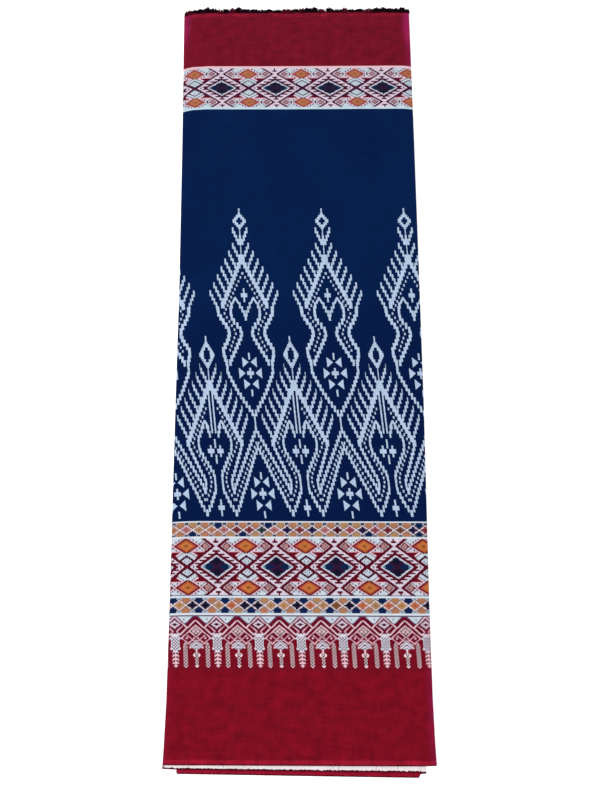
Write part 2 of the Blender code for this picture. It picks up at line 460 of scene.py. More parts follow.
def yarn_mesh(name):
    """Yarn ends in loose tufts along the waist edge of every layer."""
    rng = random.Random(TUFT_SEED)
    points, faces, tones = [], [], []
    for layer in range(LAYERS):
        left, right = sorted(layer_span(layer, CLOTH_HEIGHT))
        x = left
        while x < right:
            width = min(rng.uniform(*TUFT_WIDTHS), right - x)
            length = rng.uniform(*TUFT_LENGTHS)
            tone = rng.random()
            count = round(width / MM * YARNS_PER_MM[min(layer, 1)])
            for _ in range(count):
                place = rng.random()
                off_middle = 2 * place - 1
                root_x = x + width * place
                root_y, root_z = waist_edge(layer, root_x)
                root_y -= rng.uniform(0.8, 1.8 + 2.0 * tone) * MM
                root_z += rng.uniform(-0.2, 0.5) * MM
                reach = length * (1 - 0.45 * off_middle ** 2) * rng.uniform(0.7, 1.1)
                lean = (0.9 * off_middle + rng.uniform(-0.9, 0.9)) * MM
                bend = rng.uniform(-0.8, 0.8) * MM
                sink = rng.uniform(0.0, 0.8) * MM if layer < LAYERS - 1 else 0.0
                course = []
                for step in range(YARN_STEPS + 1):
                    out = step / YARN_STEPS
                    course.append((root_x + lean * out + bend * sin(pi * out),
                                   root_y + (1.0 * MM + reach) * out,
                                   max(root_z - sink * out * out, YARN_RADIUS)))
                yarn(points, faces, course, YARN_RADIUS * rng.uniform(0.75, 1.2))
                tones += [tone] * ((YARN_STEPS + 1) * YARN_SIDES)
            x += width + rng.uniform(*TUFT_GAPS)
    mesh = bpy.data.meshes.new(name)
    mesh.from_pydata(points, [], faces)
    mesh.attributes.new("tone", "FLOAT", "POINT").data.foreach_set("value", tones)
    return mesh


def feed(tree, slot, value):
    """Connects a worked-out value to a node's input, or sets the input to a plain value."""
    if isinstance(value, Field):
        tree.links.new(value.socket, slot)
    else:
        slot.default_value = value


class Field:
    """A number that varies over a surface. Formulas on it build the nodes of its material."""

    def __init__(self, tree, socket):
        self.tree, self.socket = tree, socket

    def math(self, operation, *others, clamp=False):
        """What an operation makes of this number and others."""
        return given(self.tree, "Math", enumerate((self, *others)), operation=operation,
                     use_clamp=clamp)

    __add__ = __radd__ = partialmethod(math, "ADD")
    __sub__ = partialmethod(math, "SUBTRACT")
    __mul__ = __rmul__ = partialmethod(math, "MULTIPLY")
    __truediv__ = partialmethod(math, "DIVIDE")
    __and__ = partialmethod(math, "MINIMUM")
    __or__ = partialmethod(math, "MAXIMUM")
    __abs__ = partialmethod(math, "ABSOLUTE")

    def __rsub__(self, other):
        return self.math("MULTIPLY_ADD", -1.0, other)

    def swing(self, reach):
        """0 at every even multiple of the reach, rising to the reach half way between."""
        return self.math("PINGPONG", reach)

    def stepped(self, size):
        """The value held still over steps of a size, at the middle of each."""
        return self.math("SNAP", size) + size / 2


def given(tree, kind, inputs, output=0, **settings):
    """What a new node puts out. inputs are pairs of an input's name or number and its value."""
    node = tree.nodes.new("ShaderNode" + kind)
    for name, setting in settings.items():
        setattr(node, name, setting)
    for slot, value in inputs:
        feed(tree, node.inputs[slot], value)
    return Field(tree, node.outputs[output])


def attribute(tree, name):
    """A number that the mesh stores at its points."""
    return given(tree, "Attribute", (), output="Fac", attribute_name=name)


SOFT = 0.3                      # millimetres over which the edge of a printed shape fades


def over(value, limit, soft=SOFT):
    """1 where a value is over a limit, 0 where it is under."""
    if isinstance(limit, Field):
        value, limit = value - limit, 0.0
    return value.math("MULTIPLY_ADD", 1 / soft, 0.5 - limit / soft, clamp=True)


def under(value, limit, soft=SOFT):
    """1 where a value is under a limit, 0 where it is over."""
    return over(value, limit, -soft)


def near(value, middle, half, soft=SOFT):
    """1 within half a width of a middle, 0 elsewhere."""
    return under(abs(value - middle), half, soft)


def within(value, low, high, soft=SOFT):
    """1 from one value to another, 0 elsewhere."""
    return near(value, (low + high) / 2, (high - low) / 2, soft)


def united(shapes):
    """1 where any of the shapes is, 0 elsewhere."""
    return reduce(or_, shapes)


def among(number, chosen):
    """1 where a whole number is one of those chosen, 0 elsewhere."""
    return united(number.math("COMPARE", one, 0.1) for one in chosen)


# Brightness of cloth that shows as full white. The light is stronger by as much, so that the
# floor is white, as in the photograph.
FULL_WHITE = 0.80


def linear(value):
    """Light of one of a screen's values, both from 0 to 1."""
    return value / 12.92 if value <= 0.04045 else ((value + 0.055) / 1.055) ** 2.4


def lit(colour):
    """What a colour's socket takes for a Paint, or for the 0 to 255 values that are to show."""
    if isinstance(colour, Paint):
        return colour.colour
    return (*(linear(value / 255) * FULL_WHITE for value in colour), 1.0)


class Paint:
    """A colour that is painted over shape by shape."""

    def __init__(self, tree, colour):
        self.tree, self.colour = tree, lit(colour)

    def __call__(self, shape, colour):
        """Paints a shape in a colour."""
        self.colour = given(self.tree, "Mix", ((0, shape), (6, self.colour), (7, lit(colour))),
                            output=2, data_type="RGBA")

    def scale(self, factor):
        """Makes the colour lighter or darker by a factor."""
        self.colour = given(self.tree, "VectorMath", ((0, self.colour), ("Scale", factor)),
                            operation="SCALE")


class Cloth:
    """Places on the cloth, in millimetres, for the nodes of one material."""

    def __init__(self, tree):
        self.tree = tree
        place = given(tree, "UVMap", (), uv_map="Cloth")
        self.x, self.t = (given(tree, "SeparateXYZ", [(0, place)], output=axis) / MM
                          for axis in (0, 1))
        self.fold = attribute(tree, "fold") / MM

    def noise(self, across, along, detail, seed):
        """Noise from 0 to 1 whose patches have about this width and length."""
        place = given(self.tree, "CombineXYZ", enumerate((self.x / across, self.t / along, seed)))
        return given(self.tree, "TexNoise",
                     (("Vector", place), ("Scale", 1.0), ("Detail", detail)))

    def chance(self, *numbers):
        """A number from 0 to 1 that differs from one whole number to the next."""
        place = given(self.tree, "CombineXYZ", enumerate(numbers))
        return given(self.tree, "TexWhiteNoise", [("Vector", place)])


# Colours of the print, as the 0 to 255 values that a screen shows. Other colours that serve in
# one place only are given there in the same way.
ICE = (206, 219, 231)
PINK_WHITE = (230, 206, 218)
PINK = (232, 176, 192)
NIGHT = (22, 22, 48)
NAVY = (10, 34, 78)
GOLD = (176, 134, 96)
ORANGE = (178, 120, 90)
SLATE = (92, 96, 122)


def ragged_t(cloth, size):
    """t made uneven in patches of a size, for the dark line along the hem edge, which is partly
    painted shade.
    """
    return cloth.t + (cloth.noise(size, size, 1.0, 14.0) - 0.5) * 3.0


def plain_red(cloth):
    """Plain red, with lighter waves at the waist, and a lighter strip and a dark line at the hem,
    the line partly painted shade.
    """
    paint = Paint(cloth.tree, (129, 11, 32))
    paint(over(cloth.t, 500.0, 1.0), (118, 15, 36))
    waist = CLOTH_HEIGHT / MM
    waves = cloth.noise(15.0, 8.0, 1.0, 3.0)
    edge = cloth.t + (waves - 0.5) * 14.0
    paint(over(edge, waist - 9.0, 3.0), (126, 18, 42))
    paint(over(edge, waist - 6.5, 4.0) & over(waves, 0.56, 0.2), (144, 24, 50))
    paint(under(cloth.t, HEM_STRIP, 1.0), (157, 20, 47))
    # Dark hem edge of the cloth, deepened with painted shade along the edge
    paint(under(ragged_t(cloth, 2.5), 1.3), (80, 2, 20))
    return paint


# The tied pattern on navy. Strokes are charted in millimetres: a width, and a middle line as
# (from_axis, t) from its top to its bottom. The axes of the tall trees lean to the right as
# they go down, and the low trees stand half way between them.
TREE_GAP = 116.2
TREE_TIP = (29.6, 737.0)        # x and t of the tip of one tall tree
TREE_LEAN = (0.055, 0.00008)    # slope of its axis at the tip, and how the slope grows
TIE_ROW = 5.8                   # height of the steps that the tied yarns make
TIE_OVERLAP = 1.5               # how far the dashes of a step reach over those next to it
TIE_SLACK = 0.8                 # how far short of a step's middle a stroke may end and fill it
TIE_BASE = 299.1                # middle of the lowest step
TIE_SPAN = 85 * TIE_ROW
AWAY = -40.0                    # where a middle line lies where it has no stroke
REACH = 100.0                   # range of the places of middle lines

TALL_STROKES = (
    # width, ((from_axis, t), ...)
    (1.6, ((0, 706), (0, 668))),
    (2.6, ((10, 706), (3, 688))),
    (3.0, ((0, 694), (0, 690))),
    (6.0, ((0, 689), (0, 683))),
    (8.6, ((0, 669), (0, 656))),
    (3.4, ((18.2, 596), (20.4, 587), (19.8, 578), (15.8, 570), (9.6, 562.5),
           (7.0, 556), (8.3, 550), (13.4, 540), (18.4, 530), (24.3, 519), (28, 510))),
    (2.7, ((7.4, 596), (1.3, 583), (0, 576))),
    (3.9, ((38.3, 592), (37.6, 584), (33.0, 574), (26.0, 563), (24.0, 556), (27, 545),
           (31.8, 537), (35, 530), (34, 523), (31, 512))),
    (3.1, ((31, 511), (31.5, 500), (27, 490), (20.5, 475), (13.8, 463), (6, 450), (0, 440))),
    (2.3, ((0, 440), (0, 420))),
    (2.7, ((0, 421), (37.4, 343), (38.3, 337))),
    (2.7, ((0, 397), (4.6, 388), (10.3, 374.5), (15.7, 361), (21, 348), (26.6, 336),
           (32.2, 321), (38.2, 310))),
)
TALL_DOTS = (
    (2.3, ((0, 642), (29.5, 583.5), (14.8, 556), (26.2, 529))),
    (2.3, ((0, 407), (37.7, 326))),
)
LOW_STROKES = (
    (1.6, ((0, 508), (0, 490))),
    (8.0, ((0, 488), (0, 474))),
    (2.3, ((2.5, 476), (2.4, 420))),
    (2.7, ((36.3, 400), (33.5, 392), (30, 383), (26, 373), (21.8, 362), (17.7, 354),
           (17.8, 347), (19.8, 337))),
    (2.7, ((13.6, 427), (22.5, 408), (22.5, 400), (21, 392), (14.8, 380), (9.8, 370), (5.2, 361),
           (5, 341), (7.3, 336), (12.6, 323), (19.8, 310))),
    (2.6, ((9.4, 427), (4.75, 411))),
)
LOW_DOTS = (
    (2.3, ((7.8, 450), (11.2, 443), (14.3, 437), (17, 431), (20.2, 425), (23, 419), (25.7, 413),
           (28.5, 407), (30.5, 402), (28.5, 397.5), (25.5, 391.5), (22.5, 385.5),
           (19.5, 379.5), (16.7, 373), (13.8, 366.5), (11.3, 361), (10, 353), (11.5, 345),
           (13.7, 338), (16.7, 332), (19.7, 326))),
)


def middle_line(tree, row, course):
    """How far the middle line of a stroke lies from the axis in each row, in shares of REACH.

    The stroke starts and ends on the border between two rows, so that each row is in or out.
    """
    node = tree.nodes.new("ShaderNodeFloatCurve")
    curve = node.mapping.curves[0]
    for point, place in zip(curve.points, (0.0, 1.0)):
        point.location = (place, 0.0)
    line = [(t, off) for off, t in reversed(course)]
    foot, top = line[0][0], line[-1][0]
    low = TIE_BASE + (ceil((foot - TIE_SLACK - TIE_BASE) / TIE_ROW) - 0.5) * TIE_ROW
    high = TIE_BASE + (floor((top + TIE_SLACK - TIE_BASE) / TIE_ROW) + 0.5) * TIE_ROW
    inner = [(t, off) for t, off in line if low < t < high]
    first = (low, between(line, max(low, foot)))
    last = (high, between(line, min(high, top)))
    edge = 0.02
    for t, off in [(low - edge, AWAY), first, *inner, last, (high + edge, AWAY)]:
        curve.points.new((t - TIE_BASE) / TIE_SPAN, (off - AWAY) / REACH)
    for point in curve.points:
        point.handle_type = "VECTOR"
    node.mapping.update()
    feed(tree, node.inputs["Value"], row)
    return Field(tree, node.outputs[0])


def strokes(tree, row, off, chart):
    """1 on the strokes of a chart, at a row's t and a distance from the axis."""
    row, off = (row - TIE_BASE) / TIE_SPAN, (off - AWAY) / REACH
    return united(off.math("COMPARE", middle_line(tree, row, course), (width / 2 - 0.12) / REACH)
                  for width, course in chart)


def crown(off, t, tip, top_t, end_t):
    """Slanting barbs on a thick band, as on both sides of each tree's crown.

    The tip is where the uppermost barb starts. The band leaves the axis at top_t, and runs out
    and down to end_t.
    """
    slope, gap, half = 0.42, 5.43, 1.12
    tip_off, tip_t = tip
    slant = off - t * slope - (tip_off - slope * tip_t)
    tips = t + (off - tip_off) * 1.888
    past = off - (top_t - t) * 0.45
    barbs = (under(slant.swing(gap), half) & under(tips, tip_t + 1.5) & over(past, 3.0)
             & within(slant, -2.0, 12 * gap + 2.0))
    return barbs | within(past, 0.0, 4.7) & over(t, end_t)


def star(off, t, middle_t):
    """A small flower of triangles round a cross, between two dashes."""
    up = abs(t - middle_t)
    cross = (under(off, 1.3) & under(up, 7.3)) | (under(off, 4.6) & under(up, 2.6))
    side = under(up, (off - 7.0) * 0.86) & under(off, 15.6)
    corner = under(abs(up - 15.3), (off - 1.5) * 0.86) & under(off, 9.8)
    dash = near(abs(t - middle_t + 1.9), 25.6, 4.6) & under(off, 1.15)
    return cross | side | corner | dash


def spear(off, t, middle_t, half_w, half_h, rise):
    """The open pointed head on top of a tree. rise is half the height of its opening."""
    up = abs(t - middle_t)
    step = up.stepped(3.0)
    outside = under(off / half_w + step / half_h, 1.0, 0.05)
    opening = under(off, 2.0) & under(up, rise) | under(off, 4.3) & under(up, rise * 0.75 - 1.6)
    spike = under(off, 1.0) & within(t, middle_t + half_h - 2.0, middle_t + half_h + 6.0)
    return outside.math("SUBTRACT", opening, clamp=True) | spike


def plus(off, t, middle_t, reach):
    """A small upright cross."""
    up = abs(t - middle_t)
    return (under(off, 1.15) & under(up, reach)) | (under(off, 4.3) & under(up, 2.9))


def peak(off, t, middle_off, top_t, foot_t):
    """Two strands that meet in a point over the gap between two strokes."""
    strands = near(abs(off - middle_off) + (t - top_t) * 0.5, 0.0, 1.5)
    return strands & within(t, foot_t, foot_t + 10.0)


def tied_navy(cloth):
    """Navy with rows of tall pointed trees in white, as if tied and dyed in the yarn."""
    tree, t = cloth.tree, cloth.t
    paint = Paint(tree, (0, 27, 72))
    paint(within(cloth.noise(60, 90, 2.0, 5.0), 0.5, 1.0, 0.3), (0, 31, 78))
    paint(under(t, 570.0, 120.0) * 0.8, (0, 22, 68))

    fuzz = (cloth.noise(1.5, 3.0, 1.0, 7.0) - 0.5) * 1.2
    fall = TREE_TIP[1] - t
    axis = fall * (fall * TREE_LEAN[1] + TREE_LEAN[0]) + TREE_TIP[0]
    # Towards the hem the trees stand a little further right, and closer on the left side
    stretch = ((cloth.x & 0.0) * 0.033 - 1.2) * under(t, 520.0, 340.0)
    off = (cloth.x + stretch - axis).swing(TREE_GAP / 2) + fuzz
    low_off = TREE_GAP / 2 - off

    def row_t(reach):
        """t of the middle of the step that holds a place, or one a reach further up."""
        start = TIE_BASE - TIE_ROW / 2
        return (t + (reach - start)).stepped(TIE_ROW) + start

    white = []
    for reach in (-TIE_OVERLAP, TIE_OVERLAP):
        row = row_t(reach)
        white += [strokes(tree, row, off, TALL_STROKES), strokes(tree, row, low_off, LOW_STROKES),
                  crown(off, row, tip=(11.8, 684.5), top_t=657.5, end_t=593.0),
                  crown(low_off, row, tip=(11.4, 506.5), top_t=479.5, end_t=402.0)]
    row = row_t(0.0)
    dotted = strokes(tree, row, off, TALL_DOTS) | strokes(tree, row, low_off, LOW_DOTS)
    white.append(dotted & under((t - TIE_BASE).swing(TIE_ROW / 2), TIE_ROW * 0.29, 0.9))

    # Small figures on the axes of the tall trees, then on those of the low trees
    white += [spear(off, t, middle_t=719.0, half_w=10.2, half_h=13.0, rise=5.4),
              peak(off, t, middle_off=12.6, top_t=606.0, foot_t=597.0),
              plus(off, t, 609.5, 10.0), star(off, t, 499.0), star(off, t, 336.0)]
    white += [spear(low_off, t, middle_t=524.5, half_w=11.0, half_h=20.5, rise=10.5),
              peak(low_off, t, middle_off=11.3, top_t=433.4, foot_t=424.5),
              plus(abs(low_off - 6.4), t, 392.5, 7.8), plus(low_off, t, 317.5, 11.0),
              near(abs(t - 392.0), 10.5, 6.0) & under(low_off, 1.1)]

    bleed = cloth.noise(1.1, 6.0, 1.0, 9.0) * 0.5 + 0.66
    tint = Paint(tree, (200, 219, 246))
    tint(cloth.noise(14, 20, 1.0, 4.0), (184, 208, 234))
    paint(united(white) * bleed & 1.0, tint)
    return paint


# Plans of the two diamond bands. x and t are the middle of one dark diamond, and half_w and
# half_h reach from there to the middles of the nearest orange ones. lean is the slope of the
# upright axes, and lean_growth how it grows across the panel. The others are the place, size or
# slope of what they are named for.
UPPER_PLAN = Named(
    x=42.6, t=925.8, half_w=39.15, half_h=22.5, stitch=0.975, lean=0.062, lean_growth=0.0001,
    arm_slope=0.66, arm_start=2.45, arm=1.5, roof=12.0, cut_slope=1.0, cut=1.5, chevron=8.0,
    small_up=6.9, small=4.6, small_slope=0.6, wedge_t=15.8,
    beside_x=14.0, beside_slope=0.75, beside=5.9, orange_slope=0.583, orange=7.0, pink=2.9,
    eye_x=8.9, tooth=3.9, tooth_t=0.25, tooth_tip=19.6, frame=15.4, cap_x=3.5, cap_t=17.4,
    heart_slope=0.58, ring=12.5, heart=10.4, tip_x=14.0, foot_t=27.2)
LARGE_PLAN = Named(
    x=48.0, t=241.5, half_w=38.85, half_h=26.4, stitch=0.9825, lean=0.10, lean_growth=0.0002,
    arm_slope=0.766, arm_start=2.76, arm=2.2, roof=14.1, cut_slope=0.76, cut=3.3, chevron=9.9,
    small_up=7.2, small=4.7, small_slope=0.7, wedge_t=18.6,
    beside_x=14.3, beside_slope=0.82, beside=7.0, orange_slope=0.63, orange=8.1, pink=4.0,
    eye_x=8.5, tooth=3.93, tooth_t=2.0, tooth_tip=23.2, frame=19.3, cap_x=5.0, cap_t=20.4,
    heart_slope=0.70, ring=15.2, heart=12.9, tip_x=14.6, foot_t=31.9)
UPPER_SHADES = Named(
    lattice=(68, 14, 44), outline=(60, 22, 52), wedge=(84, 10, 38), beside_rim=(74, 50, 76),
    beside=(116, 80, 104), shadow=(70, 24, 52), rim=(98, 34, 40), orange=(174, 98, 74),
    gold=(186, 122, 84), heart=(150, 88, 48), ground=(222, 204, 222), frame=(68, 14, 42),
    ring=(204, 206, 224), dark=(22, 24, 48), lobe=(20, 34, 60), cross=(44, 22, 54),
    tip=(34, 66, 90), dot=(166, 182, 194), ice=(196, 210, 222), end=(178, 82, 70))
LARGE_SHADES = Named(
    lattice=(90, 8, 32), outline=(66, 14, 46), wedge=(110, 8, 28), beside_rim=(98, 66, 78),
    beside=(158, 100, 92), shadow=(78, 22, 56), rim=(98, 12, 26), orange=(188, 94, 52),
    gold=(202, 130, 68), heart=(144, 82, 34), ground=(222, 210, 226), frame=(92, 8, 32),
    ring=(208, 214, 230), dark=(20, 18, 44), lobe=(12, 34, 74), cross=(50, 18, 50),
    tip=(78, 118, 142), dot=SLATE, ice=(206, 216, 228), end=(196, 84, 70))


def diamond_band(cloth, plan, shades):
    """A row of dark diamonds in saw-toothed frames inside a lattice, with orange diamonds."""
    half_w, half_h, stitch, wedge_t = plan.half_w, plan.half_h, plan.stitch, plan.wedge_t
    rise = (cloth.t - plan.t).stepped(stitch)
    lean = cloth.x * plan.lean_growth + plan.lean
    dx = (cloth.x - plan.x + rise * lean).swing(half_w).stepped(stitch)
    ex = half_w - dx
    up = abs(rise)
    off_row = abs(up - half_h)
    slope = half_h / half_w
    arm = dx * plan.arm_slope - off_row - plan.arm_start

    # Outside the lattice: dark wedges beside pale chevrons
    paint = Paint(cloth.tree, shades.ice)
    paint(under(up, wedge_t), shades.wedge)
    paint(near(up, wedge_t + 0.8, 0.7) & over(ex, 7.0), PINK)
    chevron = ex * slope + up
    cut = under(ex - up * plan.cut_slope, plan.cut)
    for inset, colour in ((0.0, PINK_WHITE), (2.6, SLATE), (3.8, shades.ice)):
        paint(under(chevron, plan.roof + plan.chevron - inset) & cut, colour)

    # Small diamonds beside the orange ones
    beside = abs(dx - plan.beside_x) * plan.beside_slope + off_row
    size = plan.beside
    core = under(beside, size * 0.55)
    odd = (dx - stitch / 2).swing(stitch) - (up - stitch / 2).swing(stitch)
    paint(near(beside, size + 1.1, 0.6) & over(dx, plan.beside_x + 1.0), SLATE)
    paint(under(beside, size), PINK_WHITE)
    paint(under(beside, size - 1.6), shades.beside_rim)
    paint(core, shades.beside)
    paint(core & over(abs(odd), stitch / 2), (198, 152, 158))

    # Orange diamonds
    orange = ex * plan.orange_slope + off_row
    size = plan.orange
    edge = size + plan.pink
    dotted = over(dx.swing(2 * stitch), stitch)
    paint(near(orange, edge + 1.4, 1.0) & over(up, wedge_t + 0.6) & dotted, shades.shadow)
    paint(under(orange, edge) & over(up, wedge_t), PINK)
    paint(under(orange, edge - 1.5), shades.rim)
    paint(under(orange, size), shades.orange)
    paint(under(orange, size) & over(ex, 8.0, 3.0), shades.end)
    paint(under(orange, size * 0.66), shades.gold)
    paint(near(orange, size * 0.4, 0.6), shades.orange)
    paint(under(orange, size * 0.25), shades.heart)

    # Small white diamonds under the chevrons
    small_up = abs(up - plan.small_up)
    paint(under(chevron, plan.roof + 3.6), shades.ice)
    paint(under(chevron, plan.roof + 1.0), shades.outline)
    paint(under(ex * plan.small_slope + small_up, plan.small), shades.ice)
    paint(near(ex, 2.6, 0.85) & under(small_up, 0.85), shades.dot)
    paint(under(ex, 0.9) & near(small_up, 2.2, 0.85), shades.dot)

    # Inside the lattice: pale ground, saw-toothed frame, pale ring and dark diamond
    paint(under(arm, 0.0), shades.ground)
    paint(near(ex, plan.eye_x, 1.1) & under(up, 1.5), SLATE)
    row = (up - plan.tooth_t).stepped(plan.tooth) + plan.tooth_t
    ring = dx * slope
    teeth = (under(abs(up - row), plan.tooth * 0.26) & under(ring + row, plan.tooth_tip)
             & under(arm, -1.2) & over(up, plan.tooth_t) & over(ex + up, plan.eye_x + 4.2))
    cap = under(dx, plan.cap_x) & near(up, plan.cap_t, 0.8)
    stem = under(dx, 1.5) & under(up, plan.cap_t)
    for shape in (under(ring + up, plan.frame), teeth, cap, stem):
        paint(shape, shades.frame)
    heart = dx * plan.heart_slope
    inner = under(heart + up, plan.heart - 1.2)
    paint(under(heart + up, plan.ring), shades.ring)
    paint(under(up.stepped(1.3) + heart, plan.heart), shades.dark)
    paint(inner & over(heart - up, 1.0), shades.lobe)
    paint(inner & near(heart - up, 0.0, 1.9), shades.cross)
    paint(over(dx, plan.tip_x) & under(heart + up, plan.heart + 0.4), shades.tip)

    # The lattice, whose arms turn a little way from the middle line of each dark diamond
    turn = near(ex * slope - up, 0.0, 1.2) & under(ex, 1.8)
    foot = near(up, plan.foot_t, 1.2) & under(dx, 3.4) | over(up, plan.foot_t) & under(dx, 1.3)
    paint(near(arm, 0.0, plan.arm) | turn, shades.lattice)
    paint(foot, shades.lattice)
    paint.scale(cloth.chance(dx, rise, (cloth.x / half_w).math("FLOOR")) * 0.3 + 0.85)
    return paint


def upper_band(cloth):
    """The upper diamond band, with a pale line along each edge."""
    paint = diamond_band(cloth, UPPER_PLAN, UPPER_SHADES)
    paint(over(cloth.t, 957.6), (236, 196, 206))
    paint(under(cloth.t, 895.2), (198, 224, 236))
    return paint


def net_border(cloth, middle_t, half_h, start_x, gap, pips, corners, marks):
    """A white net of two crossing zigzags, with coloured diamonds and triangles.

    pips are pairs of a colour and the numbers of the diamonds it fills, after a pair of colours
    for the rest. corners are the numbers of the dark triangles above and below the net. marks
    is the colour at each diamond's tips.
    """
    stitch = 1.15
    x = cloth.x.stepped(stitch) - start_x
    t = (cloth.t - middle_t).stepped(stitch)
    pip = (x / gap + 0.5).math("FLOOR")
    corner = (x / gap).math("FLOOR")
    off = x.swing(gap / 2)
    net = off * (half_h / (gap / 2)) + abs(t)
    paint = Paint(cloth.tree, GOLD)
    paint(over(cloth.chance(corner, t.math("SIGN"), middle_t), 0.4), ORANGE)
    for dark, side in zip(corners, (over(t, 0.0), under(t, 0.0))):
        paint(among(corner, dark) & side, NAVY)
    outer = over(abs(t), half_h + 0.4)
    paint(outer & under(off, 3.6), (186, 186, 196))
    paint(outer & under(off, 2.3), marks)
    core = Paint(cloth.tree, pips[0][0])
    core(over(cloth.chance(pip, middle_t), 0.5), pips[0][1])
    for colour, numbers in pips[1:]:
        core(among(pip, numbers), colour)
    core.scale(over(net, 1.7) * 0.35 + 0.65)
    inner = Paint(cloth.tree, (190, 160, 160))
    inner(under(net, half_h - 1.7) | under(off & abs(t), 1.7), core)
    paint(near(net, half_h + 1.3, 0.6) * 0.75, (88, 60, 76))
    paint(under(net, half_h), inner)
    paint(near(net, half_h, 0.7), (226, 218, 228))
    paint.scale(cloth.chance(x, t) * 0.24 + 0.88)
    return paint


UPPER_PIPS = (
    ((112, 42, 52), (128, 52, 60)),
    (ORANGE, (0, 3)), (GOLD, (2,)), ((178, 112, 112), (1, 4, 8, 12)), ((152, 72, 86), (14, 16)),
    ((34, 30, 70), (9, 11, 15, 19)), ((40, 60, 62), (7,)), ((72, 16, 36), (13,)),
    ((112, 72, 52), (18,)),
)
LOWER_PIPS = (
    (GOLD, (186, 136, 88)),
    ((188, 106, 74), (4, 10, 14, 16, 18)), ((130, 84, 52), (12,)),
    (NIGHT, (1, 2, 5, 6, 9, 13, 19)),
)
UPPER_CORNERS = ((3, 7, 19), (1, 5, 15, 19))
LOWER_CORNERS = (tuple(range(-1, 21, 2)),) * 2


def lower_borders(cloth):
    """The large diamond band between two narrow net borders, with a pale line at each edge."""
    t = cloth.t
    paint = diamond_band(cloth, LARGE_PLAN, LARGE_SHADES)
    paint(over(t, 279.2), net_border(
        cloth, middle_t=288.7, half_h=5.9, start_x=-165.0, gap=16.45,
        pips=UPPER_PIPS, corners=UPPER_CORNERS, marks=(60, 72, 92)))
    paint(under(t, 203.6), net_border(
        cloth, middle_t=193.0, half_h=6.5, start_x=-155.0, gap=16.81,
        pips=LOWER_PIPS, corners=LOWER_CORNERS, marks=(150, 176, 194)))
    paint(near(t, 205.3, 0.5), SLATE)
    lines = ((299.4, 1.1), (279.0, 1.2), (203.6, 1.2), (182.0, 1.3))
    paint(united(near(t, middle, half) for middle, half in lines), (222, 230, 240))
    return paint


PENDANT_GAP = 53.55             # from one large ornament to the next
PENDANT_AXIS = (0.6, 165.0)     # x and t of a place on the axis of a large one
PENDANT_LEAN = 0.065            # slope of the axis
PENDANT_SLOPE = 0.86            # slope of the ornaments' sides
PENDANT_STITCH = 1.2
PENDANT_ROW = 1.163
STUD = 1.9                      # from one row of the small dark studs to the next


